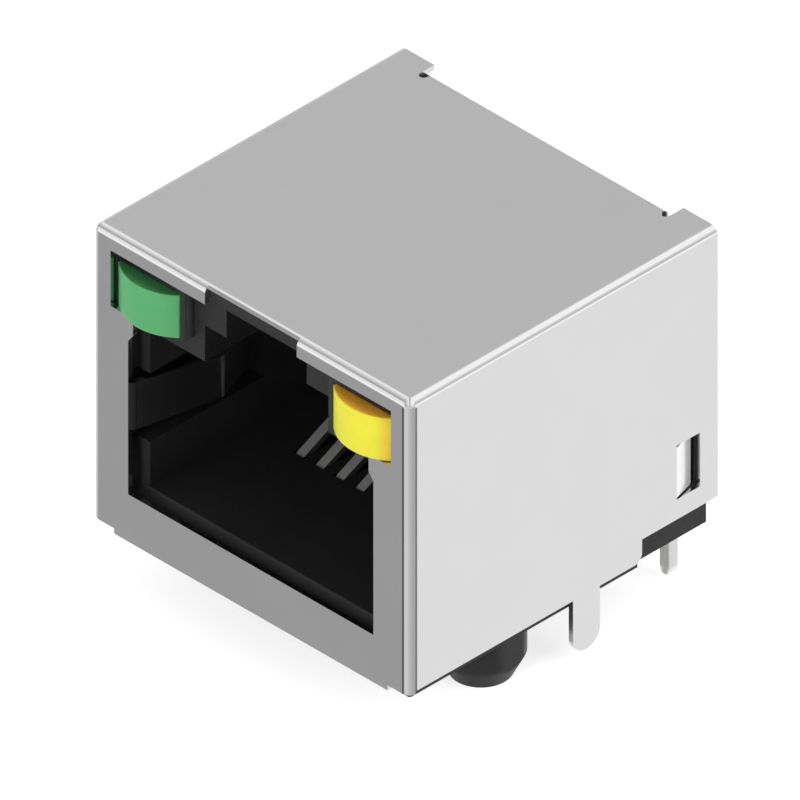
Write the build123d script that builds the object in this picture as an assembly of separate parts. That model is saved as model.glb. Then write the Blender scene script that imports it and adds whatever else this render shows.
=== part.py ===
from build123d import *
import math
import os

# Right-angle board connector for a network plug, shielded, with two lamps. Millimetres.
# X runs across the plug opening, the plug comes in from -Y, and Z is up from the board.
# The origin lies on the board's surface, midway between the two locating pegs.

# Shield: one folded sheet
SHIELD_WIDTH = 16.17
SHIELD_DEPTH = 15.69
SHIELD_TOP = 13.14
SHEET = 0.22
BEND = 0.34
PEGS_BEHIND_FRONT = 6.0
FRONT_LIP_INSET = 1.13
FRONT_LIP_Z = 0.01
FRONT_CORNER_Z = 0.24
SIDE_EDGE_Z = 0.37
REAR_EDGE_Z = 1.34
REAR_STEP_FROM_BACK = 3.86
REAR_STEP_ROUND = 0.40
TOP_LIP_HEIGHT = 0.78
TOP_GAP_WIDTH = 4.67
TOP_GAP_DEPTH = 0.20
BACK_PANEL_RECESS = 0.39
BACK_PANEL_INSET = 2.10
BACK_NOTCH_WIDTH = 0.35
GROUND_TAB_BEHIND_PEGS = 3.0
GROUND_TAB_WIDTH = 1.37
GROUND_TAB_REACH = 2.06

# Lock tongue in each side of the shield
LOCK_WINDOW_FROM_BACK = 2.10
LOCK_WINDOW_LENGTH = 1.19
LOCK_WINDOW_Z = 2.22
LOCK_WINDOW_HEIGHT = 2.36
LOCK_TONGUE_LENGTH = 0.96
LOCK_TONGUE_SLIT = 0.08
LOCK_TONGUE_PUSH = 0.27

# Spring finger beside the plug, folded in from each edge of the window
SPRING_HEIGHT = 2.06
SPRING_TIP_HEIGHT = 1.64
SPRING_Z = 5.955
SPRING_PROUD = 0.78
SPRING_CREST_DEPTH = 3.75
SPRING_TAIL_DEPTH = 5.60
SPRING_SLOPE = 14.4
SPRING_TAIL_SLOPE = 18.0
SPRING_CREST_R = 0.30

# Plug opening
OPENING_WIDTH = 11.87
OPENING_HEIGHT = 6.88
OPENING_FLOOR_Z = 2.18
LATCH_STEP_WIDTH = 6.28
LATCH_STEP_HEIGHT = 1.58
LATCH_SLOT_WIDTH = 4.08
LATCH_SLOT_HEIGHT = 1.20
LATCH_LIP_THICKNESS = 1.30
SPRING_SLOT_HEIGHT = 3.00
SPRING_SLOT_Z = 5.64
SPRING_SLOT_WIDTH = 0.82
SPRING_SLOT_DEPTH = 6.60
BEZEL_DEPTH = 0.81
BEZEL_SIDE = 0.60
BEZEL_SILL = 0.17
WINDOW_SIDE = 0.305
WINDOW_SILL = 0.09
SHOULDER_STANDOFF = 0.06
SHOULDER_HEIGHT = 0.76
SHOULDER_SLANT = 0.34

# Plastic
FIT = 0.02
CARRIER_LIFT = 0.27
CARRIER_PROUD = 0.03
TONGUE_THICKNESS = 1.35
TONGUE_SIDE = 0.55
TONGUE_FRONT_Y = 1.30
COMB_LENGTH = 0.90
COMB_GAP = 0.08
COMB_FOOT_Z = 3.30
COMB_TOP_Z = 6.10

# Locating pegs
PEG_SPACING = 11.43
PEG_R = 1.67
PEG_FLAT = 1.58
PEG_SHANK = 1.68
PEG_CONE = 0.94
PEG_TIP_R = 1.20

# Contacts
WAYS = 8
PITCH = 1.016
CONTACT_WIDTH = 0.40
CONTACT_THICKNESS = 0.30
CONTACT_RUN_Z = 1.20
CONTACT_BEND = 0.42
LOOP_Y = 0.27
RISE_ANGLE = 25.0
CONTACT_END_GAP = 0.23
PIN_ROW_FRONT_Y = 3.81
PIN_ROW_BACK_Y = 6.35
PIN_REACH = 2.39
PIN_TAPER = 0.29
PIN_TAPER_IN = 0.10
CONTACT_SLOT_FRONT = 0.12
CONTACT_SLOT_BACK_Y = 2.20
CONTACT_SLOT_UNDER = 0.35
CONTACT_SLOT_LIP = 0.04
CONTACT_SLOT_CLEAR = 0.03

# Lamps
LAMP_FROM_SIDE = 1.075
LAMP_BELOW_TOP = 1.32
LAMP_WIDTH = 3.08
LAMP_HEIGHT = 1.88
LAMP_FACE_DEPTH = 0.275
LAMP_BACK_DEPTH = 6.00
LAMP_BULGE = 0.60
LAMP_FIT = 0.04
LAMP_SEAT_DEPTH = 0.32
LAMP_WALL = 0.22
LAMP_WINDOW_GAP = 0.125
LEAD = 0.48
LEAD_SPACING = 1.83
LEAD_BEND = 0.50
LEAD_FIT = 0.03
LEAD_EMBED = 1.20
LEAD_ROW_FROM_BACK = 0.80
LEAD_ROW_STEP = 1.27

# Limits that several pieces share
SIDE_X = SHIELD_WIDTH / 2
FRONT_Y = -PEGS_BEHIND_FRONT
BACK_Y = FRONT_Y + SHIELD_DEPTH
BACK_FACE_Y = BACK_Y - BACK_PANEL_RECESS
BACK_PANEL_X = SIDE_X - BACK_PANEL_INSET
CARRIER_BACK_Y = BACK_FACE_Y + CARRIER_PROUD
SPLIT_Y = BACK_Y - REAR_STEP_FROM_BACK
LOCK_WINDOW_Y = BACK_Y - LOCK_WINDOW_FROM_BACK
BEZEL_Y = FRONT_Y + BEZEL_DEPTH
PLASTIC_SIDE_X = SIDE_X - SHEET - FIT
PLASTIC_FRONT_Y = FRONT_Y + SHEET + FIT
PLASTIC_TOP_Z = SHIELD_TOP - SHEET - FIT
OPENING_X = OPENING_WIDTH / 2
OPENING_TOP_Z = OPENING_FLOOR_Z + OPENING_HEIGHT
LATCH_STEP_Z = OPENING_TOP_Z + LATCH_STEP_HEIGHT
LATCH_SLOT_Z = LATCH_STEP_Z + LATCH_SLOT_HEIGHT
LAMP_OUTER_X = SIDE_X - LAMP_FROM_SIDE
LAMP_INNER_X = LAMP_OUTER_X - LAMP_WIDTH
LAMP_X = (LAMP_INNER_X + LAMP_OUTER_X) / 2
LAMP_TOP_Z = SHIELD_TOP - LAMP_BELOW_TOP
LAMP_BOTTOM_Z = LAMP_TOP_Z - LAMP_HEIGHT
LAMP_WINDOW_X = LAMP_OUTER_X + LAMP_WINDOW_GAP
LAMP_WINDOW_SILL_Z = LAMP_BOTTOM_Z - FIT
LEAD_Z = LAMP_BOTTOM_Z + LAMP_HEIGHT / 2
TONGUE_X = (WAYS - 1) / 2 * PITCH + CONTACT_WIDTH / 2 + TONGUE_SIDE
TONGUE_TOP_Z = CARRIER_LIFT + TONGUE_THICKNESS
RISE = math.radians(RISE_ANGLE)
PAST = 1.0


def block(x, y, z):
    """Box between two limits along each axis."""
    middle = [(low + high) / 2 for low, high in (x, y, z)]
    return Pos(*middle) * Box(x[1] - x[0], y[1] - y[0], z[1] - z[0])


def both_sides(piece):
    """The piece and its mirror image across the middle plane."""
    return piece + mirror(piece, about=Plane.YZ)


def strip_along_y(points, radii, thickness, width, x):
    """Bent strip whose middle line runs through points of Y and Z, centred on x."""
    outline = trace(FilletPolyline(*points, radius=radii), thickness)
    return Pos(x, 0, 0) * extrude(Plane.YZ * outline, width / 2, both=True)


def strip_along_x(points, radii, thickness, height, z):
    """Bent strip whose middle line runs through points of X and Y, centred on z."""
    outline = trace(FilletPolyline(*points, radius=radii), thickness)
    return Pos(0, 0, z) * extrude(outline, height / 2, both=True)


def pin_tip(x, y, width, thickness):
    """Tapered end of a board pin."""
    top = -PIN_REACH + PIN_TAPER
    corners = [
        (-width / 2, top),
        (width / 2, top),
        (width / 2 - PIN_TAPER_IN, -PIN_REACH),
        (-width / 2 + PIN_TAPER_IN, -PIN_REACH),
    ]
    outline = Plane.XZ * make_face(Polyline(*corners, close=True))
    return Pos(x, y, 0) * extrude(outline, thickness / 2, both=True)


def fold_block(inset, past):
    """Block of the shield's outline, drawn in by inset, with the folded edges rounded."""
    x = SIDE_X - inset
    body = block((-x, x), (FRONT_Y + inset, BACK_Y + past), (FRONT_LIP_Z - past, SHIELD_TOP - inset))
    side_folds = body.edges().filter_by(Axis.Y).group_by(Axis.Z)[-1]
    front_fold = body.edges().filter_by(Axis.X).group_by(Axis.Y)[0].group_by(Axis.Z)[-1]
    corner_folds = body.edges().filter_by(Axis.Z).group_by(Axis.Y)[0]
    return fillet(side_folds + front_fold + corner_folds, BEND - inset)


def front_window():
    """Cut for the plug, the latch and the two lamps in the shield's front."""
    plug_x = OPENING_X + WINDOW_SIDE
    shoulder_x = OPENING_X + SHOULDER_STANDOFF
    shoulder_z = LAMP_WINDOW_SILL_Z - SHOULDER_HEIGHT
    head_z = SHIELD_TOP - TOP_LIP_HEIGHT
    gap_x = TOP_GAP_WIDTH / 2
    right = [
        (plug_x, OPENING_FLOOR_Z - WINDOW_SILL),
        (plug_x, shoulder_z - SHOULDER_SLANT),
        (shoulder_x, shoulder_z),
        (shoulder_x, LAMP_WINDOW_SILL_Z),
        (LAMP_WINDOW_X, LAMP_WINDOW_SILL_Z),
        (LAMP_WINDOW_X, head_z),
        (gap_x, head_z),
        (gap_x, SHIELD_TOP - SHEET),
    ]
    left = [(-x, z) for x, z in reversed(right)]
    outline = Plane.XZ * make_face(Polyline(*right, *left, close=True))
    window = Pos(0, FRONT_Y, 0) * extrude(outline, BEND + SHEET, both=True)
    gap_z = (SHIELD_TOP - SHEET - FIT, SHIELD_TOP + PAST)
    gap = block((-gap_x, gap_x), (FRONT_Y - PAST, FRONT_Y + TOP_GAP_DEPTH), gap_z)
    return window + gap


def lower_edges():
    """Cut that leaves the shield's stepped lower edges."""
    sides = Polyline(
        (FRONT_Y + BEND, FRONT_LIP_Z - PAST),
        (FRONT_Y + BEND, SIDE_EDGE_Z),
        (SPLIT_Y, SIDE_EDGE_Z),
        (SPLIT_Y, REAR_EDGE_Z),
        (BACK_Y + PAST, REAR_EDGE_Z),
        (BACK_Y + PAST, FRONT_LIP_Z - PAST),
        close=True,
    )
    outline = make_face(sides)
    corner = outline.vertices().group_by(Axis.X)[1].sort_by(Axis.Y)[0]
    outline = fillet(corner, REAR_STEP_ROUND)
    cut = extrude(Plane.YZ * outline, SIDE_X + PAST, both=True)
    lip_x = (SIDE_X - FRONT_LIP_INSET, SIDE_X + PAST)
    lip_z = (FRONT_LIP_Z - PAST, FRONT_CORNER_Z)
    return cut + both_sides(block(lip_x, (FRONT_Y - PAST, FRONT_Y + BEND), lip_z))


def back_opening():
    """Cut in the top sheet that frees the back panel, with a round end to each notch."""
    outer_x = BACK_PANEL_X + BACK_NOTCH_WIDTH
    round_r = BACK_NOTCH_WIDTH / 2
    start_y = BACK_FACE_Y - BEND
    z = (SHIELD_TOP - SHEET - FIT, SHIELD_TOP + PAST)
    cut = block((-outer_x, outer_x), (start_y, BACK_Y + PAST), z)
    relief = Pos(BACK_PANEL_X + round_r, start_y, SHIELD_TOP) * Cylinder(round_r, 2 * PAST)
    return cut + both_sides(relief)


def back_panel():
    """Panel folded down from the top sheet behind the carrier."""
    z = SHIELD_TOP - SHEET / 2
    y = BACK_FACE_Y - SHEET / 2
    path = [(y - 2 * BEND, z), (y, z), (y, REAR_EDGE_Z)]
    return strip_along_y(path, BEND - SHEET / 2, SHEET, 2 * BACK_PANEL_X, 0)


def ground_tab():
    """Round-ended solder tab below the right side of the shield."""
    r = GROUND_TAB_WIDTH / 2
    y = GROUND_TAB_BEHIND_PEGS
    end_z = -GROUND_TAB_REACH + r
    x = (SIDE_X - SHEET, SIDE_X)
    leg = block(x, (y - r, y + r), (end_z, SIDE_EDGE_Z + SHEET))
    end = Pos(SIDE_X - SHEET / 2, y, end_z) * Rot(0, 90, 0) * Cylinder(r, SHEET)
    return leg + end


def lock_window():
    """Opening around the lock tongue in the right side."""
    y = (LOCK_WINDOW_Y, LOCK_WINDOW_Y + LOCK_WINDOW_LENGTH)
    z = (LOCK_WINDOW_Z, LOCK_WINDOW_Z + LOCK_WINDOW_HEIGHT)
    return block((SIDE_X - SHEET - FIT, SIDE_X + FIT), y, z)


def lock_tongue():
    """Tongue pushed in from the right side, which holds the shield on the carrier."""
    x = SIDE_X - SHEET / 2
    y = LOCK_WINDOW_Y
    path = [(x, y - SHEET), (x, y), (x - LOCK_TONGUE_PUSH, y + LOCK_TONGUE_LENGTH)]
    height = LOCK_WINDOW_HEIGHT - 2 * LOCK_TONGUE_SLIT
    return strip_along_x(path, SHEET, SHEET, height, LOCK_WINDOW_Z + LOCK_WINDOW_HEIGHT / 2)


def plug_spring():
    """Spring finger folded in from the window's right edge, bowed towards the plug."""
    crest_x = OPENING_X - SPRING_PROUD + SHEET / 2
    crest_y = FRONT_Y + SPRING_CREST_DEPTH
    tail_y = FRONT_Y + SPRING_TAIL_DEPTH
    front_y = FRONT_Y + SHEET / 2
    fold_x = crest_x + (crest_y - front_y) * math.tan(math.radians(SPRING_SLOPE))
    tail_x = crest_x + (tail_y - crest_y) * math.tan(math.radians(SPRING_TAIL_SLOPE))
    path = [(fold_x + 2 * BEND, front_y), (fold_x, front_y), (crest_x, crest_y), (tail_x, tail_y)]
    finger = strip_along_x(path, [BEND - SHEET / 2, SPRING_CREST_R], SHEET, SPRING_HEIGHT, SPRING_Z)
    taper = [
        (FRONT_Y, SPRING_Z - SPRING_HEIGHT / 2),
        (FRONT_Y + BEZEL_DEPTH, SPRING_Z - SPRING_HEIGHT / 2),
        (tail_y, SPRING_Z - SPRING_TIP_HEIGHT / 2),
        (tail_y + PAST, SPRING_Z),
        (tail_y, SPRING_Z + SPRING_TIP_HEIGHT / 2),
        (FRONT_Y + BEZEL_DEPTH, SPRING_Z + SPRING_HEIGHT / 2),
        (FRONT_Y, SPRING_Z + SPRING_HEIGHT / 2),
    ]
    outline = Plane.YZ * make_face(Polyline(*taper, close=True))
    return finger & extrude(outline, SIDE_X)


def shield():
    """The whole shield, folded from one sheet."""
    shell = fold_block(0, 0) - fold_block(SHEET, PAST)
    shell -= front_window()
    shell -= lower_edges()
    shell -= back_opening()
    shell -= both_sides(lock_window())
    return shell + back_panel() + both_sides(ground_tab() + lock_tongue() + plug_spring())


def peg():
    """Right locating peg, with a flat on its outer side."""
    shank = Cylinder(PEG_R, PEG_SHANK, align=(Align.CENTER, Align.CENTER, Align.MAX))
    cone = Cone(PEG_TIP_R, PEG_R, PEG_CONE, align=(Align.CENTER, Align.CENTER, Align.MAX))
    whole = shank + Pos(0, 0, -PEG_SHANK) * cone
    flat = block((PEG_FLAT, PEG_R + PAST), (-PEG_R, PEG_R), (-PEG_SHANK - PEG_CONE, FIT))
    return Pos(PEG_SPACING / 2, 0, 0) * (whole - flat)


def opening():
    """Plug opening with its latch recess, from the bezel to the carrier."""
    reach = (BEZEL_Y - PAST, SPLIT_Y + PAST)
    step_x = LATCH_STEP_WIDTH / 2
    slot_x = LATCH_SLOT_WIDTH / 2
    plug = block((-OPENING_X, OPENING_X), reach, (OPENING_FLOOR_Z, OPENING_TOP_Z))
    step = block((-step_x, step_x), reach, (OPENING_FLOOR_Z, LATCH_STEP_Z))
    slot = block((-slot_x, slot_x), reach, (OPENING_FLOOR_Z, LATCH_SLOT_Z))
    behind_lip = (BEZEL_Y + LATCH_LIP_THICKNESS, SPLIT_Y + PAST)
    pocket = block((-step_x, step_x), behind_lip, (OPENING_FLOOR_Z, LATCH_SLOT_Z))
    return plug + step + slot + pocket


def bezel_recess():
    """Recess in the housing's front round the plug and between the lamps' seats."""
    depth = (PLASTIC_FRONT_Y - PAST, BEZEL_Y)
    plug_x = OPENING_X + BEZEL_SIDE
    head_x = LAMP_INNER_X - LAMP_FIT - LAMP_WALL
    seat_x = LAMP_WINDOW_X + SHEET
    seat_z = LAMP_BOTTOM_Z - LAMP_FIT
    top_z = PLASTIC_TOP_Z - BEND
    plug = block((-plug_x, plug_x), depth, (OPENING_FLOOR_Z - BEZEL_SILL, seat_z))
    head = block((-head_x, head_x), depth, (seat_z - FIT, top_z))
    seat_depth = (PLASTIC_FRONT_Y - PAST, FRONT_Y + LAMP_SEAT_DEPTH)
    return plug + head + block((-seat_x, seat_x), seat_depth, (seat_z - FIT, top_z))


def spring_slot():
    """Room for the right plug spring in the wall of the opening."""
    x = (OPENING_X - FIT, OPENING_X + SPRING_SLOT_WIDTH)
    y = (PLASTIC_FRONT_Y, FRONT_Y + SPRING_SLOT_DEPTH)
    z = (SPRING_SLOT_Z - SPRING_SLOT_HEIGHT / 2, SPRING_SLOT_Z + SPRING_SLOT_HEIGHT / 2)
    return block(x, y, z)


def lead_x(inner):
    """Distance of a lamp lead from the middle plane."""
    return LAMP_X - LEAD_SPACING / 2 if inner else LAMP_X + LEAD_SPACING / 2


def lead_row_y(inner):
    """Place of a lamp lead's board pin along Y."""
    row_y = BACK_Y - LEAD_ROW_FROM_BACK
    return row_y - LEAD_ROW_STEP if inner else row_y


def lead_path(inner, past):
    """Middle line of a right lamp lead, from inside the lamp down to the board pin's taper."""
    y = lead_row_y(inner)
    start_y = FRONT_Y + LAMP_BACK_DEPTH - LEAD_EMBED
    return [(start_y, LEAD_Z), (y, LEAD_Z), (y, -PIN_REACH + PIN_TAPER - past)]


def lead_room(inner):
    """Channel that a right lamp lead runs in, back over the opening and down."""
    size = LEAD + 2 * LEAD_FIT
    return strip_along_y(lead_path(inner, PAST), LEAD_BEND, size, size, lead_x(inner))


def lamp_pocket():
    """Pocket for the right lamp, open to the front."""
    x = (LAMP_INNER_X - LAMP_FIT, LAMP_OUTER_X + LAMP_FIT)
    y = (PLASTIC_FRONT_Y - PAST, FRONT_Y + LAMP_BACK_DEPTH + LAMP_FIT)
    z = (LAMP_BOTTOM_Z - LAMP_FIT, LAMP_TOP_Z + LAMP_FIT)
    return block(x, y, z)


def contact_xs():
    """Places of the contacts across the opening."""
    first = -(WAYS - 1) / 2 * PITCH
    return [first + i * PITCH for i in range(WAYS)]


def contact_corner_y():
    """Where a contact's run and its sloping spring would meet without the loop."""
    return LOOP_Y - CONTACT_BEND * math.tan((math.pi - RISE) / 2)


def contact_slot(x):
    """Slot in the floor that a contact rises through, with a roof over its loop."""
    half = CONTACT_WIDTH / 2 + COMB_GAP
    front_y = LOOP_Y - CONTACT_BEND - CONTACT_THICKNESS / 2 - CONTACT_SLOT_FRONT
    bottom_z = CONTACT_RUN_Z - CONTACT_THICKNESS / 2 - CONTACT_SLOT_UNDER
    lip_z = OPENING_FLOOR_Z - CONTACT_SLOT_LIP
    middle_z = lip_z - CONTACT_SLOT_CLEAR - CONTACT_THICKNESS / 2 / math.cos(RISE)
    lip_y = contact_corner_y() + (middle_z - CONTACT_RUN_Z) / math.tan(RISE)
    outline = Polyline(
        (front_y, bottom_z),
        (front_y, lip_z - (lip_y - front_y) * math.tan(RISE)),
        (lip_y, lip_z),
        (lip_y, OPENING_FLOOR_Z + FIT),
        (CONTACT_SLOT_BACK_Y, OPENING_FLOOR_Z + FIT),
        (CONTACT_SLOT_BACK_Y, bottom_z),
        close=True,
    )
    return Pos(x, 0, 0) * extrude(Plane.YZ * make_face(outline), half, both=True)


def housing():
    """Jack housing with the plug opening, lamp pockets and locating pegs."""
    x = (-PLASTIC_SIDE_X, PLASTIC_SIDE_X)
    body = block(x, (PLASTIC_FRONT_Y, SPLIT_Y), (0, PLASTIC_TOP_Z))
    along = body.edges().filter_by(Axis.Y).group_by(Axis.Z)[-1]
    across = body.edges().filter_by(Axis.X).group_by(Axis.Y)[0].group_by(Axis.Z)[-1]
    upright = body.edges().filter_by(Axis.Z).group_by(Axis.Y)[0]
    body = fillet(along + across + upright, BEND - SHEET)
    body -= bezel_recess()
    body -= opening()
    body -= both_sides(spring_slot() + lamp_pocket() + lead_room(True) + lead_room(False))
    tongue_x = TONGUE_X + FIT
    tongue_y = (TONGUE_FRONT_Y - FIT, SPLIT_Y + PAST)
    body -= block((-tongue_x, tongue_x), tongue_y, (-PAST, TONGUE_TOP_Z + FIT))
    for slot_x in contact_xs():
        body -= contact_slot(slot_x)
    return body + both_sides(peg())


def comb():
    """Ribs at the back of the opening that keep the contacts' spring ends apart."""
    thickness = PITCH - CONTACT_WIDTH - 2 * COMB_GAP
    edges = [x - PITCH / 2 for x in contact_xs()] + [contact_xs()[-1] + PITCH / 2]
    y = (SPLIT_Y - COMB_LENGTH, SPLIT_Y + 2 * FIT)
    z = (COMB_FOOT_Z, COMB_TOP_Z)
    return [block((x - thickness / 2, x + thickness / 2), y, z) for x in edges]


def contact_carrier(contacts):
    """Carrier that the contacts are moulded into, behind and under the opening."""
    front_y = SPLIT_Y + FIT
    x = (-PLASTIC_SIDE_X, PLASTIC_SIDE_X)
    body = block(x, (front_y, CARRIER_BACK_Y), (CARRIER_LIFT, PLASTIC_TOP_Z))
    body = fillet(body.edges().filter_by(Axis.Y).group_by(Axis.Z)[-1], BEND - SHEET)
    tongue_y = (TONGUE_FRONT_Y, front_y + FIT)
    body += block((-TONGUE_X, TONGUE_X), tongue_y, (CARRIER_LIFT, TONGUE_TOP_Z))
    for rib in comb():
        body += rib
    panel_x = lead_x(False) - LEAD / 2 - LEAD_FIT
    panel_y = (BACK_FACE_Y - SHEET - LEAD_FIT, BACK_Y + PAST)
    body -= block((-panel_x, panel_x), panel_y, (REAR_EDGE_Z - FIT, SHIELD_TOP))
    top_edges = body.edges().filter_by(Axis.X).group_by(Axis.Z)[-1]
    under_fold = top_edges.sort_by(SortBy.LENGTH)[-2]
    body = fillet(under_fold, BEND - SHEET)
    body -= both_sides(lock_pocket() + lead_room(True) + lead_room(False) + lead_slot())
    for contact in contacts:
        body -= contact
    return body


def lead_slot():
    """Opens the right outer lead's channel to the back, so that the lead can be bent into it."""
    half = LEAD / 2 + LEAD_FIT
    x = lead_x(False)
    y = (lead_row_y(False), BACK_Y + PAST)
    return block((x - half, x + half), y, (-PAST, LEAD_Z + half))


def lock_pocket():
    """Pocket in the carrier's right side that the shield's lock tongue springs into."""
    depth = LOCK_TONGUE_PUSH + SHEET
    slit = LOCK_TONGUE_SLIT
    y = (LOCK_WINDOW_Y - slit, LOCK_WINDOW_Y + LOCK_WINDOW_LENGTH - slit)
    z = (LOCK_WINDOW_Z + slit - FIT, LOCK_WINDOW_Z + LOCK_WINDOW_HEIGHT - slit + FIT)
    return block((SIDE_X - SHEET - depth, SIDE_X), y, z)


def contact(index):
    """One contact: board pin, run under the floor, loop and sloping spring end."""
    x = contact_xs()[index]
    pin_y = PIN_ROW_FRONT_Y if index % 2 else PIN_ROW_BACK_Y
    end_y = SPLIT_Y - CONTACT_END_GAP
    end_z = CONTACT_RUN_Z + (end_y - contact_corner_y()) * math.tan(RISE)
    path = [
        (pin_y, -PIN_REACH + PIN_TAPER),
        (pin_y, CONTACT_RUN_Z),
        (contact_corner_y(), CONTACT_RUN_Z),
        (end_y, end_z),
    ]
    bent = strip_along_y(path, CONTACT_BEND, CONTACT_THICKNESS, CONTACT_WIDTH, x)
    return bent + pin_tip(x, pin_y, CONTACT_WIDTH, CONTACT_THICKNESS)


def lead(inner):
    """Square lead of the right lamp, bent down to the board."""
    x = lead_x(inner)
    bent = strip_along_y(lead_path(inner, 0), LEAD_BEND, LEAD, LEAD, x)
    return bent + pin_tip(x, lead_row_y(inner), LEAD, LEAD)


def lamp():
    """Moulded body of the right lamp, with its bowed lens."""
    face_y = FRONT_Y + LAMP_FACE_DEPTH
    back_y = FRONT_Y + LAMP_BACK_DEPTH
    corners = [
        (LAMP_OUTER_X, face_y),
        (LAMP_OUTER_X, back_y),
        (LAMP_INNER_X, back_y),
        (LAMP_INNER_X, face_y),
    ]
    bow = ThreePointArc(corners[-1], (LAMP_X, face_y - LAMP_BULGE), corners[0])
    lens = make_face(bow + Polyline(*corners))
    body = extrude(Pos(0, 0, LAMP_BOTTOM_Z) * lens, LAMP_HEIGHT)
    return body - lead(True) - lead(False)


def mirrored(piece):
    """The same piece on the left side."""
    return mirror(piece, about=Plane.YZ)


os.makedirs("parts", exist_ok=True)
contacts = [contact(i) for i in range(WAYS)]
export_step(shield(), "parts/shield.step")
export_step(housing(), "parts/housing.step")
export_step(contact_carrier(contacts), "parts/contact_carrier.step")
for number, piece in enumerate(contacts, start=1):
    export_step(piece, f"parts/contact_{number}.step")
export_step(lamp(), "parts/lamp_yellow.step")
export_step(mirrored(lamp()), "parts/lamp_green.step")
for name, inner in (("inner", True), ("outer", False)):
    export_step(lead(inner), f"parts/lamp_yellow_lead_{name}.step")
    export_step(mirrored(lead(inner)), f"parts/lamp_green_lead_{name}.step")
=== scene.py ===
"""Looks of a shielded board connector for a network plug, round its packed frame."""
import math

import bmesh
import bpy
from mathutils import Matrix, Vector


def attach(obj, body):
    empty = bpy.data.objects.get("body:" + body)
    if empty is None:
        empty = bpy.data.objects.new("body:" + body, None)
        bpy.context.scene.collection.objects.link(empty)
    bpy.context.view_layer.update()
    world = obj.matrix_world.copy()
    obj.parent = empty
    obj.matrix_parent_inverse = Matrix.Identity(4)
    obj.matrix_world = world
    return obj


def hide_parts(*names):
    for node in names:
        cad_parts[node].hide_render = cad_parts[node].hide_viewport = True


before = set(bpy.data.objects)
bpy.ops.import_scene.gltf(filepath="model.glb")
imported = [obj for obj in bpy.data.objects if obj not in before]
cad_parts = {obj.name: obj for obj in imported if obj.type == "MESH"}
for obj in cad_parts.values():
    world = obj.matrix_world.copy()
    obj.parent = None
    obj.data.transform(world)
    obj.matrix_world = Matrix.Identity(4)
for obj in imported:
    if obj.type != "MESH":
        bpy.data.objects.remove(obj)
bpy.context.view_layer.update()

bl_info = {
    "name": "Ethernet Connector",
    "version": (1, 0, 0),
    "blender": (4, 5, 0),
    "location": "View3D > Sidebar > Connector",
    "description": "Builds a shielded board connector for a network plug",
    "category": "Object",
}

MM = 0.001
BODY = "root"

# Places and sizes in the row frame, in millimetres

# Shield
SIDE_X = 8.085  # outer face of a side
FRONT_Y = -6.0  # outer face of the front
TOP_Z = 13.14  # outer face of the top
FOLD = 0.34  # outer radius of a fold
FOLD_SHADE_WIDTH = 0.09  # width of a painted shade line beside a fold
FOLD_SHADE_REACH = 0.05  # how far in from an outer face such a line reaches
# Middle and half size of the root of a plug spring, where shade is painted, along X, Y
# and Z
SPRING_ROOT = ((6.0, 0.32), (FRONT_Y + 0.125, 0.115), (5.955, 1.1))

# Pins of the contacts and the leads
PIN_TAPER_Z = -2.10  # where the taper starts
PIN_TIP_Z = -2.2  # height below which points are drawn in
PIN_END_Z = -2.39

# Contacts
CONTACT_PINS_Y = (6.35, 3.81)  # the two rows of pins
CONTACT_RUN_Z = 1.20  # run under the opening
CONTACT_END_Y = 5.60  # end of the spring
CONTACT_EDGE = 0.02  # radius of the long edges
LOOP_Y = 0.27  # where the run turns into the front loop

# Lamps
LAMP_FACE_Y = -5.725  # where the lens starts to bow out
LAMP_BACK_Y = 0.0
LAMP_BOTTOM_Z = 9.94
LENS_EDGE = 0.04  # width of the bevels
LENS_STEPS = 20  # steps of the bow
DEEP_SIDE = 0.55  # width of the deeper colour at the outer side
SCATTER = 0.6  # how far light travels in the epoxy

# Leads
LEAD_Z = 10.88  # run behind the lamp
LEAD_START_Y = -1.2  # start inside the lamp
LEAD_BEND = 0.5  # middle radius of the bend
LEAD_EDGE = 0.03  # radius of the long edges
# Pins as X from the middle of the lamp, and Y
LEAD_PINS = {"inner": (-0.915, 7.62), "outer": (0.915, 8.89)}

# Stage
FLOOR_Z = -2.62
FLOOR_REACH = 600  # from the middle to a side
CAMERA_AWAY = 150

# Points of a CAD mesh nearer than this are one
WELD = 0.0005

# Shares of the colour that the painted shade keeps: in the lines beside the folds, on
# the spring roots and on the contacts' cut sides
FOLD_SHADE_TONE = 0.25
SPRING_ROOT_SHADE = 0.04
SIDE_SHADE_TONE = 0.30

# Shares of the width that are left at the ends of the pins
CONTACT_TIP = 0.5
LEAD_TIP = 0.58

# Angles
FLAT = math.radians(0.5)  # faces that are one plane
CAD_EDGE = math.radians(32)  # edges of CAD shapes that stay sharp
STRIP_EDGE = math.radians(40)  # edges of strips and lamps that stay sharp
LENS_CORNER = math.radians(35)  # corners of a lamp that are bevelled

# X of a normal on a side that faces that way
SIDEWAYS = 0.8

TIN = (0.72, 0.72, 0.71)
WHITE = (1, 1, 1, 1)


# Sizes and colours that a user would change

def length(name, description, millimetres):
    """Length property with its default in millimetres."""
    return bpy.props.FloatProperty(
        name=name, description=description, default=millimetres * MM,
        min=0.0, unit="LENGTH", precision=5,
    )


def shade(name, description, colour):
    """Colour property with its default."""
    return bpy.props.FloatVectorProperty(
        name=name, description=description, default=colour,
        min=0.0, max=1.0, size=3, subtype="COLOR",
    )


def angle(name, description, degrees):
    """Angle property with its default in degrees."""
    return bpy.props.FloatProperty(
        name=name, description=description, default=math.radians(degrees),
        subtype="ANGLE",
    )


class ShieldSettings(bpy.types.PropertyGroup):
    """Plated sheet of the shield."""
    colour: shade("Colour", "Colour of the plated sheet", (0.74, 0.735, 0.737))
    roughness: bpy.props.FloatProperty(
        name="Roughness", description="How matt the plating is", default=0.20,
        min=0.0, max=1.0,
    )


class PlasticSettings(bpy.types.PropertyGroup):
    """Moulded plastic of the housing and the carrier."""
    colour: shade("Colour", "Colour of the moulded plastic", (0.022, 0.022, 0.023))
    grain: length("Grain", "Size of the moulded grain", 0.12)


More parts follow.
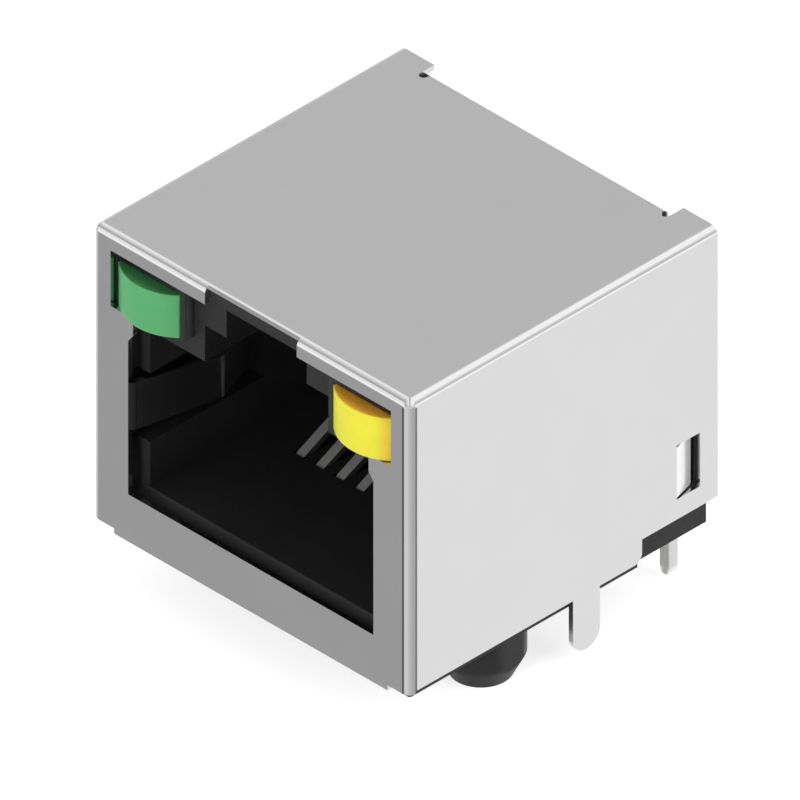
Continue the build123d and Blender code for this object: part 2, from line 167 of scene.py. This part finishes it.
class ContactSettings(bpy.types.PropertyGroup):
    """Row of bent contacts."""
    ways: bpy.props.IntProperty(
        name="Ways", description="Number of contacts", default=8, min=2,
    )
    pitch: length("Pitch", "Distance from one contact to the next", 1.016)
    width: length("Width", "Width of a contact", 0.40)
    thickness: length("Thickness", "Thickness of a contact", 0.30)
    bend: length("Bend", "Middle radius of a contact's bends", 0.42)
    rise: angle("Rise", "Slope of a contact's spring end", 25)
    colour: shade("Colour", "Colour of the contacts", (0.45, 0.45, 0.44))


class LampSettings(bpy.types.PropertyGroup):
    """Two status lamps with their leads."""
    width: length("Width", "Width of a lamp's lens", 3.08)
    height: length("Height", "Height of a lamp's lens", 1.88)
    bulge: length("Bulge", "How far the lens bows out", 0.60)
    place: length("Place", "Distance of a lamp from the middle", 5.47)
    lead: length("Lead", "Side of a lamp's square lead", 0.48)
    green: shade("Green", "Colour of the left lamp", (0.117, 0.450, 0.177))
    yellow: shade("Yellow", "Colour of the right lamp", (0.87, 0.81, 0.060))
    # The second colours are painted light and shade on the lens tops, brighter on the
    # yellow lamp and darker on the green one, and a deeper tone at the outer side
    green_deep: shade(
        "Deep Green", "Left lamp where light crosses more dye", (0.07, 0.30, 0.10),
    )
    yellow_deep: shade(
        "Deep Yellow", "Right lamp where light crosses more dye", (1.0, 0.52, 0.06),
    )


class StageSettings(bpy.types.PropertyGroup):
    """Floor, lights and camera."""
    azimuth: angle("Azimuth", "Turn of the camera round the connector", 45)
    elevation: angle("Elevation", "Height of the camera above the horizon", 35)
    across: length("Across", "Width of the view", 28.787)
    floor: shade("Floor", "Colour of the floor", (0.86, 0.86, 0.86))


SETTINGS = {
    "connector_shield": ShieldSettings,
    "connector_plastic": PlasticSettings,
    "connector_contacts": ContactSettings,
    "connector_lamps": LampSettings,
    "connector_stage": StageSettings,
}


# Nodes of materials

def new_material(name, metallic, roughness, **sockets):
    """Material with one Principled shader; returns it with its tree and shader."""
    material = bpy.data.materials.new(name)
    material.use_nodes = True
    tree = material.node_tree
    shader = tree.nodes["Principled BSDF"]
    shader.inputs["Metallic"].default_value = metallic
    shader.inputs["Roughness"].default_value = roughness
    for socket, value in sockets.items():
        shader.inputs[socket.replace("_", " ")].default_value = value
    return material, tree, shader


def maths(tree, operation, *values):
    """Output of a Math node, whose inputs are numbers or other outputs."""
    node = tree.nodes.new("ShaderNodeMath")
    node.operation = operation
    for socket, value in zip(node.inputs, values):
        if isinstance(value, (int, float)):
            socket.default_value = value
        else:
            tree.links.new(value, socket)
    return node.outputs["Value"]


def near(tree, value, middle, reach):
    """Mask of 1 where value is within reach of the middle, both in millimetres."""
    return maths(tree, "COMPARE", value, middle * MM, reach * MM)


def all_of(tree, mask, *others):
    """Mask of 1 where every mask is 1."""
    for other in others:
        mask = maths(tree, "MULTIPLY", mask, other)
    return mask


def coordinates(tree, kind):
    """X, Y and Z of a texture coordinate."""
    place = tree.nodes.new("ShaderNodeTexCoord")
    parts = tree.nodes.new("ShaderNodeSeparateXYZ")
    tree.links.new(place.outputs[kind], parts.inputs["Vector"])
    return parts.outputs["X"], parts.outputs["Y"], parts.outputs["Z"]


def spread(tree, value, low, high, start=0.3, end=0.7):
    """Value mapped from start..end, by default the run of noise, to low..high."""
    node = tree.nodes.new("ShaderNodeMapRange")
    node.inputs["From Min"].default_value = start
    node.inputs["From Max"].default_value = end
    node.inputs["To Min"].default_value = low
    node.inputs["To Max"].default_value = high
    tree.links.new(value, node.inputs["Value"])
    return node.outputs["Result"]


def blend(tree, share, first, second):
    """Mix of two colours, each one an output or plain red, green and blue."""
    node = tree.nodes.new("ShaderNodeMix")
    node.data_type = "RGBA"
    tree.links.new(share, node.inputs["Factor"])
    for name, value in (("A", first), ("B", second)):
        if isinstance(value, bpy.types.NodeSocket):
            tree.links.new(value, node.inputs[name])
        else:
            node.inputs[name].default_value = (*value, 1)
    return node.outputs["Result"]


def toned(colour, share):
    """Colour made darker or lighter by a share."""
    return [min(1, c * share) for c in colour]


def mottle(tree, value, colour, low, high):
    """Colour that goes from its low share to its high share with noise."""
    share = spread(tree, value, 0, 1)
    return blend(tree, share, toned(colour, low), toned(colour, high))


def ramp(tree, value, reach, stops):
    """Grey level that runs through stops as value goes from -reach to reach."""
    node = tree.nodes.new("ShaderNodeValToRGB")
    band = node.color_ramp.elements
    while len(band) < len(stops):
        band.new(0.5)
    for element, (place, grey) in zip(band, stops):
        element.position = (place + reach) / (2 * reach)
        element.color = (grey, grey, grey, 1)
    tree.links.new(spread(tree, value, 0, 1, -reach, reach), node.inputs["Fac"])
    return node.outputs["Color"]


def noise(tree, size, detail, stretch=(1, 1, 1)):
    """Noise on Object coordinates whose grain has about that size in millimetres."""
    place = tree.nodes.new("ShaderNodeTexCoord")
    mapping = tree.nodes.new("ShaderNodeMapping")
    mapping.inputs["Scale"].default_value = stretch
    texture = tree.nodes.new("ShaderNodeTexNoise")
    texture.inputs["Scale"].default_value = 1 / (size * MM)
    texture.inputs["Detail"].default_value = detail
    tree.links.new(place.outputs["Object"], mapping.inputs["Vector"])
    tree.links.new(mapping.outputs["Vector"], texture.inputs["Vector"])
    return texture.outputs["Fac"]


def bump(tree, shader, height, strength, depth):
    """Fine relief on the shader's normal, its depth in millimetres."""
    node = tree.nodes.new("ShaderNodeBump")
    node.inputs["Strength"].default_value = strength
    node.inputs["Distance"].default_value = depth * MM
    tree.links.new(height, node.inputs["Height"])
    tree.links.new(node.outputs["Normal"], shader.inputs["Normal"])


def mixed(tree, share, first, second):
    """Mix of two shaders."""
    node = tree.nodes.new("ShaderNodeMixShader")
    tree.links.new(share, node.inputs["Fac"])
    tree.links.new(first.outputs[0], node.inputs[1])
    tree.links.new(second.outputs[0], node.inputs[2])
    return node


def ray_masks(tree):
    """Masks of rays that the viewer looks along, and of rays that a surface mirrors."""
    path = tree.nodes.new("ShaderNodeLightPath").outputs
    seen = maths(tree, "MAXIMUM", path["Is Camera Ray"], path["Is Transmission Ray"])
    return seen, path["Is Glossy Ray"]


# Materials of the pieces

def plated_sheet(settings):
    """Bright nickel plating with a rolled grain, painted shade lines beside the folds
    and painted shade on the spring roots.
    """
    roughness = settings.roughness
    material, tree, shader = new_material(
        "plated_sheet", metallic=1.0, roughness=roughness,
    )
    clouds = noise(tree, size=2.4, detail=3)
    grain = noise(tree, size=0.10, detail=2, stretch=(1, 0.12, 1))
    plating = mottle(tree, clouds, settings.colour, low=0.99, high=1.01)
    rough = spread(tree, clouds, low=roughness * 0.95, high=roughness * 1.05)

    x, y, z = coordinates(tree, "Object")
    from_middle = maths(tree, "ABSOLUTE", x)
    # Painted shade: thin dark lines on the front and the side where the upright fold
    # begins
    front = maths(tree, "LESS_THAN", y, (FRONT_Y + FOLD_SHADE_REACH) * MM)
    side = maths(tree, "GREATER_THAN", from_middle, (SIDE_X - FOLD_SHADE_REACH) * MM)
    under_folds = maths(tree, "LESS_THAN", z, (TOP_Z - FOLD) * MM)
    on_front = all_of(tree, front, near(tree, x, SIDE_X - FOLD, FOLD_SHADE_WIDTH / 2))
    on_side = all_of(tree, side, near(tree, y, FRONT_Y + FOLD, FOLD_SHADE_WIDTH / 2))
    marks = all_of(tree, under_folds, maths(tree, "MAXIMUM", on_front, on_side))
    fold_shaded = blend(tree, marks, plating, toned(settings.colour, FOLD_SHADE_TONE))
    # Painted shade: the roots of the plug springs are darkened to a small share of the
    # colour
    shaded_roots = all_of(tree, *(
        near(tree, place, middle, reach)
        for place, (middle, reach) in zip((from_middle, y, z), SPRING_ROOT)
    ))
    root_shaded = blend(tree, shaded_roots, fold_shaded, toned(settings.colour, SPRING_ROOT_SHADE))

    tree.links.new(root_shaded, shader.inputs["Base Color"])
    tree.links.new(rough, shader.inputs["Roughness"])
    bump(tree, shader, grain, strength=0.05, depth=0.004)
    return material


def moulded_plastic(settings):
    """Black plastic with a fine moulded grain."""
    material, tree, shader = new_material(
        "moulded_plastic", metallic=0.0, roughness=0.5, Specular_IOR_Level=0.25,
    )
    grain = noise(tree, size=settings.grain / MM, detail=3)
    flow = noise(tree, size=3.0, detail=2)
    colour = mottle(tree, flow, settings.colour, low=0.9, high=1.15)
    tree.links.new(colour, shader.inputs["Base Color"])
    tree.links.new(spread(tree, grain, low=0.42, high=0.58), shader.inputs["Roughness"])
    bump(tree, shader, grain, strength=0.25, depth=0.012)
    return material


def plated_wire(name, colour, metallic, roughness, side_shade_tone=1.0):
    """Plated or tinned wire with drawing marks, and painted shade on its cut sides.

    Cut sides face along X, and get the painted shade only above the board.
    """
    material, tree, shader = new_material(name, metallic, roughness)
    marks = noise(tree, size=0.08, detail=2, stretch=(1, 0.15, 0.15))
    drawn = mottle(tree, marks, colour, low=0.96, high=1.03)
    # Painted shade: sides that face along X are darkened above the board
    facing = maths(tree, "ABSOLUTE", coordinates(tree, "Normal")[0])
    side = maths(tree, "GREATER_THAN", facing, SIDEWAYS)
    above = maths(tree, "GREATER_THAN", coordinates(tree, "Object")[2], 0.0)
    tint = blend(tree, all_of(tree, side, above), drawn, toned(colour, side_shade_tone))
    rough = spread(tree, marks, low=roughness, high=roughness * 1.3)
    tree.links.new(tint, shader.inputs["Base Color"])
    tree.links.new(rough, shader.inputs["Roughness"])
    bump(tree, shader, marks, strength=0.05, depth=0.003)
    return material


def dyed_lens(name, colour, top_shading_and_side, outer):
    """Dyed epoxy of a lamp, with painted light and shade in a second colour on its top,
    and deeper in colour towards its outer side.
    """
    material, tree, shader = new_material(
        name, metallic=0.0, roughness=0.42,
        Subsurface_Weight=0.5, Specular_IOR_Level=0.2,
    )
    shader.inputs["Subsurface Radius"].default_value = [c + 0.02 for c in colour]
    shader.inputs["Subsurface Scale"].default_value = SCATTER * MM
    clouds = noise(tree, size=0.9, detail=2)
    dye = mottle(tree, clouds, colour, low=0.97, high=1.02)
    across = maths(tree, "ABSOLUTE", coordinates(tree, "Object")[0])
    inner = outer - DEEP_SIDE * MM
    side = spread(tree, across, low=0, high=0.8, start=inner, end=outer)
    # Painted light and shade: faces that point up take the second colour
    upwards = coordinates(tree, "Normal")[2]
    top = spread(tree, upwards, low=0, high=1, start=0.3, end=0.8)
    tint = blend(tree, maths(tree, "MAXIMUM", side, top), dye, top_shading_and_side)
    tree.links.new(tint, shader.inputs["Base Color"])
    bump(tree, shader, noise(tree, size=0.25, detail=2), strength=0.06, depth=0.006)
    return material


# Meshes

def add_piece(name, mesh, material, slot, *nodes):
    """Object for a finished mesh, on its body, in place of CAD nodes."""
    piece = bpy.data.objects.new(name, mesh)
    bpy.context.scene.collection.objects.link(piece)
    mesh.materials.clear()
    mesh.materials.append(material)
    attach(piece, BODY)
    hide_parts(*nodes)


def plain_mesh(obj, name):
    """Plain mesh of an object with its modifiers, and the object removed."""
    bpy.context.view_layer.update()
    graph = bpy.context.evaluated_depsgraph_get()
    mesh = bpy.data.meshes.new_from_object(obj.evaluated_get(graph), depsgraph=graph)
    mesh.name = name
    bpy.data.objects.remove(obj)
    return mesh


def joined_copy(node, name):
    """Closed mesh of a CAD node, with its flat faces whole."""
    work = bmesh.new()
    work.from_mesh(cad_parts[node].data)
    bmesh.ops.remove_doubles(work, verts=work.verts, dist=WELD * MM)
    bmesh.ops.dissolve_limit(
        work, angle_limit=FLAT, verts=work.verts, edges=work.edges,
    )
    return finished(work, name)


def finished(work, name):
    """Mesh of a bmesh, which is freed."""
    mesh = bpy.data.meshes.new(name)
    work.to_mesh(mesh)
    work.free()
    return mesh


def in_order(mesh, name):
    """Copy of a mesh with points and faces sorted by place, as a bevel mixes them."""
    places = [[round(c, 7) for c in point.co] for point in mesh.vertices]
    order = sorted(range(len(places)), key=places.__getitem__)
    rank = {old: new for new, old in enumerate(order)}
    rings = []
    for face in mesh.polygons:
        ring = [rank[i] for i in face.vertices]
        first = ring.index(min(ring))
        rings.append(ring[first:] + ring[:first])
    ordered = bpy.data.meshes.new(name)
    ordered.from_pydata([mesh.vertices[i].co for i in order], [], sorted(rings))
    return ordered


def smooth_shading(mesh, sharp):
    """Round faces smooth, flat faces and edges over the sharp angle as they are."""
    obj = bpy.data.objects.new("shading", mesh)
    bpy.context.scene.collection.objects.link(obj)
    mesh.shade_smooth()
    mesh.set_sharp_from_angle(angle=sharp)
    weighted = obj.modifiers.new("weighted", "WEIGHTED_NORMAL")
    weighted.keep_sharp = True
    weighted.weight = 100
    return plain_mesh(obj, mesh.name)


def together(name, meshes):
    """Several meshes as one."""
    work = bmesh.new()
    for mesh in meshes:
        work.from_mesh(mesh)
    return finished(work, name)


# Bent strips, by Geometry Nodes

STRIP_INPUTS = (
    ("Count", "Int", 4, "Number of strips"),
    ("First", "Float", 0.0, "Place of the first strip across the row"),
    ("Step", "Float", 2.032 * MM, "Distance from strip to strip"),
    ("Width", "Float", 0.4 * MM, "Width across the row"),
    ("Thickness", "Float", 0.3 * MM, "Thickness of the strip"),
    ("Bend", "Float", 0.42 * MM, "Middle radius of the bends"),
    ("Edge", "Float", 0.03 * MM, "Radius of the long edges"),
    ("Tip Height", "Float", PIN_TIP_Z * MM, "Height below which points are drawn in"),
    ("Tip", "Float", 0.5, "Width left at the tip, as a share"),
    ("Finish", "Material", None, "Material of the strips"),
)


def strip_row_tree():
    """Tree that sweeps a rounded bar along a filleted path and sets it in a row.

    Its points below the tip height are drawn in, which tapers the tip.
    """
    tree = bpy.data.node_groups.new("bent_strip_row", "GeometryNodeTree")
    interface = tree.interface
    interface.new_socket("Path", in_out="INPUT", socket_type="NodeSocketGeometry")
    for name, kind, default, description in STRIP_INPUTS:
        kind = f"NodeSocket{kind}"
        socket = interface.new_socket(name, in_out="INPUT", socket_type=kind)
        socket.default_value = default
        socket.description = description
    interface.new_socket("Strips", in_out="OUTPUT", socket_type="NodeSocketGeometry")
    given = tree.nodes.new("NodeGroupInput").outputs

    def node(kind, **inputs):
        """Node with outputs linked or numbers set on its inputs."""
        made = tree.nodes.new(kind)
        for name, value in inputs.items():
            socket = made.inputs[name.replace("_", " ")]
            if isinstance(value, bpy.types.NodeSocket):
                tree.links.new(value, socket)
            else:
                socket.default_value = value
        return made

    def filleted(curve, radius, steps):
        """Curve with its corners rounded in a number of steps."""
        fillet = node("GeometryNodeFilletCurve", Curve=curve, Radius=radius)
        fillet.mode = "POLY"
        fillet.inputs["Count"].default_value = steps
        return fillet.outputs["Curve"]

    def vector(**parts):
        """Vector from its parts."""
        return node("ShaderNodeCombineXYZ", **parts).outputs["Vector"]

    section = node(
        "GeometryNodeCurvePrimitiveQuadrilateral",
        Width=given["Width"], Height=given["Thickness"],
    )
    bar = node(
        "GeometryNodeCurveToMesh",
        Curve=filleted(given["Path"], given["Bend"], 8),
        Profile_Curve=filleted(section.outputs["Curve"], given["Edge"], 2),
        Fill_Caps=True,
    )

    place = node("GeometryNodeInputPosition").outputs["Position"]
    parts = node("ShaderNodeSeparateXYZ", Vector=place).outputs
    narrow = maths(tree, "MULTIPLY", parts["X"], given["Tip"])
    tipped = node(
        "GeometryNodeSetPosition",
        Geometry=bar.outputs["Mesh"],
        Selection=maths(tree, "LESS_THAN", parts["Z"], given["Tip Height"]),
        Position=vector(X=narrow, Y=parts["Y"], Z=parts["Z"]),
    )

    row = node(
        "GeometryNodeMeshLine", Count=given["Count"],
        Start_Location=vector(X=given["First"]), Offset=vector(X=given["Step"]),
    )
    copies = node(
        "GeometryNodeInstanceOnPoints",
        Points=row.outputs["Mesh"], Instance=tipped.outputs["Geometry"],
    )
    real = node("GeometryNodeRealizeInstances", Geometry=copies.outputs["Instances"])
    finish = node(
        "GeometryNodeSetMaterial",
        Geometry=real.outputs["Geometry"], Material=given["Finish"],
    )
    node("NodeGroupOutput", Strips=finish.outputs["Geometry"])
    return tree


def strip_row(name, path, inputs):
    """Plain mesh of a row of like strips. The path is their Y and Z in millimetres."""
    curve = bpy.data.curves.new(name, "CURVE")
    curve.dimensions = "3D"
    line = curve.splines.new("POLY")
    line.points.add(len(path) - 1)
    for point, (y, z) in zip(line.points, path):
        point.co = (0, y * MM, z * MM, 1)
    obj = bpy.data.objects.new(name, curve)
    bpy.context.scene.collection.objects.link(obj)
    tree = bpy.data.node_groups.get("bent_strip_row") or strip_row_tree()
    modifier = obj.modifiers.new("row", "NODES")
    modifier.node_group = tree
    for item in tree.interface.items_tree:
        if item.item_type == "SOCKET" and item.name in inputs:
            modifier[item.identifier] = inputs[item.name]
    return plain_mesh(obj, name)


def lamp_body(settings, side, name):
    """Moulded body of a lamp with its bowed lens, in one outline."""
    half = settings.width / 2 / MM
    bulge = settings.bulge / MM
    radius = (half ** 2 + bulge ** 2) / (2 * bulge)
    sweep = math.asin(half / radius)
    centre_y = LAMP_FACE_Y - bulge + radius
    middle = settings.place / MM
    outline = []
    for i in range(LENS_STEPS + 1):
        turn = -sweep + 2 * sweep * i / LENS_STEPS
        x, y = middle + radius * math.sin(turn), centre_y - radius * math.cos(turn)
        outline.append((x, y))
    outline += [(middle + half, LAMP_BACK_Y), (middle - half, LAMP_BACK_Y)]

    work = bmesh.new()
    bottom = LAMP_BOTTOM_Z * MM
    ring = [work.verts.new((side * x * MM, y * MM, bottom)) for x, y in outline]
    raised = bmesh.ops.extrude_face_region(work, geom=[work.faces.new(ring)])
    top = [v for v in raised["geom"] if isinstance(v, bmesh.types.BMVert)]
    bmesh.ops.translate(work, verts=top, vec=(0, 0, settings.height))
    bmesh.ops.recalc_face_normals(work, faces=work.faces)
    obj = bpy.data.objects.new(name, finished(work, name))
    bpy.context.scene.collection.objects.link(obj)
    edge = obj.modifiers.new("edges", "BEVEL")
    edge.width = LENS_EDGE * MM
    edge.segments = 3
    edge.limit_method = "ANGLE"
    edge.angle_limit = LENS_CORNER
    return smooth_shading(in_order(plain_mesh(obj, name), name), STRIP_EDGE)


# Pieces

class CONNECTOR_OT_shield(bpy.types.Operator):
    """Build the folded metal shield"""
    bl_idname = "connector.shield"
    bl_label = "Shield"

    def execute(self, context):
        material = plated_sheet(context.scene.connector_shield)
        mesh = smooth_shading(joined_copy("shield", "shield_sheet"), CAD_EDGE)
        add_piece("shield_sheet", mesh, material, "shield_metal", "shield")
        return {"FINISHED"}


class CONNECTOR_OT_plastic(bpy.types.Operator):
    """Build the moulded housing and the contact carrier"""
    bl_idname = "connector.plastic"
    bl_label = "Housing and Carrier"

    def execute(self, context):
        material = moulded_plastic(context.scene.connector_plastic)
        for node in ("housing", "contact_carrier"):
            name = f"{node}_moulding"
            mesh = smooth_shading(joined_copy(node, name), CAD_EDGE)
            add_piece(name, mesh, material, "black_plastic", node)
        return {"FINISHED"}


class CONNECTOR_OT_contacts(bpy.types.Operator):
    """Build the row of bent contacts"""
    bl_idname = "connector.contacts"
    bl_label = "Contacts"

    def execute(self, context):
        settings = context.scene.connector_contacts
        # The contacts' cut sides get painted shade above the board
        material = plated_wire(
            "plated_contact", settings.colour,
            metallic=0.50, roughness=0.38, side_shade_tone=SIDE_SHADE_TONE,
        )
        bend, rise = settings.bend / MM, settings.rise
        corner_y = LOOP_Y - bend * math.tan((math.pi - rise) / 2)
        end_z = CONTACT_RUN_Z + (CONTACT_END_Y - corner_y) * math.tan(rise)
        rows = []
        for parity, pin_y in enumerate(CONTACT_PINS_Y):
            path = [
                (pin_y, PIN_END_Z), (pin_y, PIN_TAPER_Z), (pin_y, CONTACT_RUN_Z),
                (corner_y, CONTACT_RUN_Z), (CONTACT_END_Y, end_z),
            ]
            rows.append(strip_row(f"contacts_row_{parity}", path, {
                "Count": settings.ways // 2,
                "First": (parity - (settings.ways - 1) / 2) * settings.pitch,
                "Step": 2 * settings.pitch,
                "Width": settings.width,
                "Thickness": settings.thickness,
                "Bend": settings.bend,
                "Edge": CONTACT_EDGE * MM,
                "Tip Height": PIN_TIP_Z * MM,
                "Tip": CONTACT_TIP,
                "Finish": material,
            }))
        mesh = smooth_shading(together("contacts", rows), STRIP_EDGE)
        nodes = [f"contact_{number}" for number in range(1, settings.ways + 1)]
        add_piece("contacts", mesh, material, "contact_metal", *nodes)
        return {"FINISHED"}


class CONNECTOR_OT_lamps(bpy.types.Operator):
    """Build the two status lamps and their leads"""
    bl_idname = "connector.lamps"
    bl_label = "Lamps"

    def execute(self, context):
        settings = context.scene.connector_lamps
        outer = settings.place + settings.width / 2
        for colour, side in (("green", -1), ("yellow", 1)):
            shallow = getattr(settings, colour)
            top_shading_and_side = getattr(settings, f"{colour}_deep")
            material = dyed_lens(f"{colour}_epoxy", shallow, top_shading_and_side, outer)
            name = f"lamp_{colour}_lens"
            mesh = lamp_body(settings, side, name)
            add_piece(name, mesh, material, f"{colour}_lens", f"lamp_{colour}")

        material = plated_wire("tinned_lead", TIN, metallic=0.9, roughness=0.25)
        rows = []
        for name, (offset, pin_y) in LEAD_PINS.items():
            place = settings.place / MM + offset
            path = [
                (LEAD_START_Y, LEAD_Z), (pin_y, LEAD_Z),
                (pin_y, PIN_TAPER_Z), (pin_y, PIN_END_Z),
            ]
            rows.append(strip_row(f"lamp_leads_{name}", path, {
                "Count": 2,
                "First": -place * MM,
                "Step": 2 * place * MM,
                "Width": settings.lead,
                "Thickness": settings.lead,
                "Bend": LEAD_BEND * MM,
                "Edge": LEAD_EDGE * MM,
                "Tip Height": PIN_TIP_Z * MM,
                "Tip": LEAD_TIP,
                "Finish": material,
            }))
        mesh = smooth_shading(together("lamp_leads", rows), STRIP_EDGE)
        nodes = [f"lamp_{c}_lead_{n}" for c in ("green", "yellow") for n in LEAD_PINS]
        add_piece("lamp_leads", mesh, material, "lead_metal", *nodes)
        return {"FINISHED"}


# Stage

def soft_box(name, target, direction, distance, side, power):
    """Square lamp that lights the connector but isn't mirrored in its metal."""
    lamp = bpy.data.lights.new(name, "AREA")
    lamp.size = side * MM
    lamp.energy = power
    obj = bpy.data.objects.new(name, lamp)
    bpy.context.scene.collection.objects.link(obj)
    away = Vector(direction).normalized()
    obj.location = target + away * distance * MM
    obj.rotation_euler = away.to_track_quat("Z", "Y").to_euler()
    obj.visible_glossy = False


class CONNECTOR_OT_stage(bpy.types.Operator):
    """Build the floor, the lights and the camera"""
    bl_idname = "connector.stage"
    bl_label = "Stage"

    # Points that the lamps and the camera aim at, in millimetres
    LIT = (0, 1.8, 5.5)
    SEEN = (1.595, 0.0, 7.14)

    # Name, direction, distance and side in millimetres, and power in watts
    LAMPS = (
        ("key_light", (0.86, 0.30, 0.36), 150, 110, 0.085),
        ("top_light", (0.25, 0.10, 0.96), 160, 70, 0.05),
        ("front_light", (0.12, -0.97, 0.20), 160, 60, 0.11),
    )

    # Light from all round on the object, and the floor's own glow to the viewer
    PLAIN = 0.40
    GLOW = 0.70

    # Grey levels of the studio that the metal mirrors, where 1 is STUDIO times white.
    # Overhead they run with X + Y of the direction, and lower down with its turn in
    # radians, each between minus and plus its reach.
    STUDIO = 1.4
    OVERHEAD_REACH = 1.42
    OVERHEAD = (
        (-1.41, 1.0), (-1.34, 0.97), (-1.20, 0.36), (-1.08, 0.36), (-0.73, 0.61),
        (-0.28, 0.86), (-0.13, 0.45), (0.14, 0.42), (0.45, 0.80), (0.67, 0.95),
        (0.89, 0.79), (1.06, 0.97), (1.25, 0.60), (1.36, 0.54), (1.41, 0.60),
    )
    TURN_REACH = 3.16
    HORIZON = (
        (-3.15, 0.60), (-2.60, 0.60), (-2.36, 0.95), (-2.02, 0.95), (-1.80, 0.60),
        (0.32, 0.60), (0.50, 0.95), (0.78, 0.95), (0.95, 0.60), (3.15, 0.60),
    )
    BELOW = (
        (-3.15, 0.60), (-2.72, 0.62), (-2.53, 0.29), (-2.20, 0.29), (-2.01, 0.50),
        (-1.55, 0.62), (-0.78, 0.46), (-0.02, 0.38), (0.44, 0.32), (0.62, 0.71),
        (0.95, 0.71), (1.20, 0.95), (1.55, 0.93), (1.80, 0.72), (2.20, 0.66),
        (3.15, 0.60),
    )

    def execute(self, context):
        settings = context.scene.connector_stage
        scene = context.scene
        scene.view_settings.view_transform = "Standard"
        self.studio_world(scene)
        self.floor(scene, settings)
        target = Vector(self.LIT) * MM
        for name, direction, distance, side, power in self.LAMPS:
            soft_box(name, target, direction, distance, side, power)
        self.camera(scene, settings)
        return {"FINISHED"}

    def studio_world(self, scene):
        """White backdrop, plain light from all round, and the mirrored studio."""
        world = scene.world or bpy.data.worlds.new("studio")
        scene.world = world
        world.use_nodes = True
        tree = world.node_tree

        x, y, z = coordinates(tree, "Generated")
        across = maths(tree, "ADD", x, y)
        turn = maths(tree, "ARCTAN2", y, x)
        overhead = ramp(tree, across, self.OVERHEAD_REACH, self.OVERHEAD)
        horizon = ramp(tree, turn, self.TURN_REACH, self.HORIZON)
        below = ramp(tree, turn, self.TURN_REACH, self.BELOW)
        level = spread(tree, z, low=0, high=1, start=-0.38, end=-0.16)
        low = blend(tree, level, below, horizon)
        fade = spread(tree, z, low=0.72, high=1, start=0.12, end=0.40)
        high = maths(tree, "MULTIPLY", overhead, fade)
        rising = spread(tree, z, low=0, high=1, start=0.0, end=0.08)
        greys = blend(tree, rising, low, high)

        plain = tree.nodes["Background"]
        plain.inputs["Color"].default_value = WHITE
        plain.inputs["Strength"].default_value = self.PLAIN
        white = tree.nodes.new("ShaderNodeBackground")
        white.inputs["Color"].default_value = WHITE
        white.inputs["Strength"].default_value = 1.0
        studio = tree.nodes.new("ShaderNodeBackground")
        studio.inputs["Strength"].default_value = self.STUDIO
        tree.links.new(greys, studio.inputs["Color"])
        seen, glossy = ray_masks(tree)
        shown = mixed(tree, seen, mixed(tree, glossy, plain, studio), white)
        output = tree.nodes["World Output"]
        tree.links.new(shown.outputs["Shader"], output.inputs["Surface"])

    def floor(self, scene, settings):
        """Flat floor under the pins."""
        work = bmesh.new()
        bmesh.ops.create_grid(
            work, x_segments=1, y_segments=1, size=FLOOR_REACH * MM,
        )
        bmesh.ops.translate(work, verts=work.verts, vec=(0, 0, FLOOR_Z * MM))
        mesh = finished(work, "floor")
        mesh.materials.append(self.floor_material(settings))
        floor = bpy.data.objects.new("floor", mesh)
        scene.collection.objects.link(floor)

    def floor_material(self, settings):
        """Pale floor that keeps the connector's shadow and shows in no metal."""
        material, tree, shader = new_material(
            "pale_floor", metallic=0.0, roughness=0.9,
        )
        fibres = noise(tree, size=1.5, detail=3)
        tint = mottle(tree, fibres, settings.floor, low=0.995, high=1.005)
        seen, glossy = ray_masks(tree)
        glow = maths(tree, "MULTIPLY", seen, self.GLOW)
        tree.links.new(tint, shader.inputs["Base Color"])
        shader.inputs["Emission Color"].default_value = WHITE
        tree.links.new(glow, shader.inputs["Emission Strength"])
        clear = tree.nodes.new("ShaderNodeBsdfTransparent")
        shown = mixed(tree, glossy, shader, clear)
        output = tree.nodes["Material Output"]
        tree.links.new(shown.outputs["Shader"], output.inputs["Surface"])
        return material

    def camera(self, scene, settings):
        """Parallel view at the set angle."""
        turn, rise = settings.azimuth, settings.elevation
        away = Vector((
            math.sin(turn) * math.cos(rise), -math.cos(turn) * math.cos(rise),
            math.sin(rise),
        ))
        camera = bpy.data.cameras.new("camera")
        camera.type = "ORTHO"
        camera.ortho_scale = settings.across
        camera.clip_start, camera.clip_end = 0.001, 10
        obj = bpy.data.objects.new("camera", camera)
        scene.collection.objects.link(obj)
        obj.location = Vector(self.SEEN) * MM + away * CAMERA_AWAY * MM
        obj.rotation_euler = (-away).to_track_quat("-Z", "Y").to_euler()
        scene.camera = obj


PIECES = (
    CONNECTOR_OT_stage,
    CONNECTOR_OT_shield,
    CONNECTOR_OT_plastic,
    CONNECTOR_OT_contacts,
    CONNECTOR_OT_lamps,
)


class CONNECTOR_PT_panel(bpy.types.Panel):
    """Buttons and sizes of the connector"""
    bl_idname = "CONNECTOR_PT_panel"
    bl_label = "Ethernet Connector"
    bl_space_type = "VIEW_3D"
    bl_region_type = "UI"
    bl_category = "Connector"

    def draw(self, context):
        for piece in PIECES:
            self.layout.operator(piece.bl_idname)
        for name, settings in SETTINGS.items():
            box = self.layout.box()
            box.label(text=settings.__doc__)
            for prop in settings.__annotations__:
                box.prop(getattr(context.scene, name), prop)


def register():
    for name, group in SETTINGS.items():
        bpy.utils.register_class(group)
        setattr(bpy.types.Scene, name, bpy.props.PointerProperty(type=group))
    for piece in PIECES:
        bpy.utils.register_class(piece)
    bpy.utils.register_class(CONNECTOR_PT_panel)


def unregister():
    bpy.utils.unregister_class(CONNECTOR_PT_panel)
    for piece in reversed(PIECES):
        bpy.utils.unregister_class(piece)
    for name, group in SETTINGS.items():
        delattr(bpy.types.Scene, name)
        bpy.utils.unregister_class(group)


def main():
    register()
    bpy.ops.connector.stage()
    bpy.ops.connector.shield()
    bpy.ops.connector.plastic()
    bpy.ops.connector.contacts()
    bpy.ops.connector.lamps()


if __name__ == "__main__":
    main()
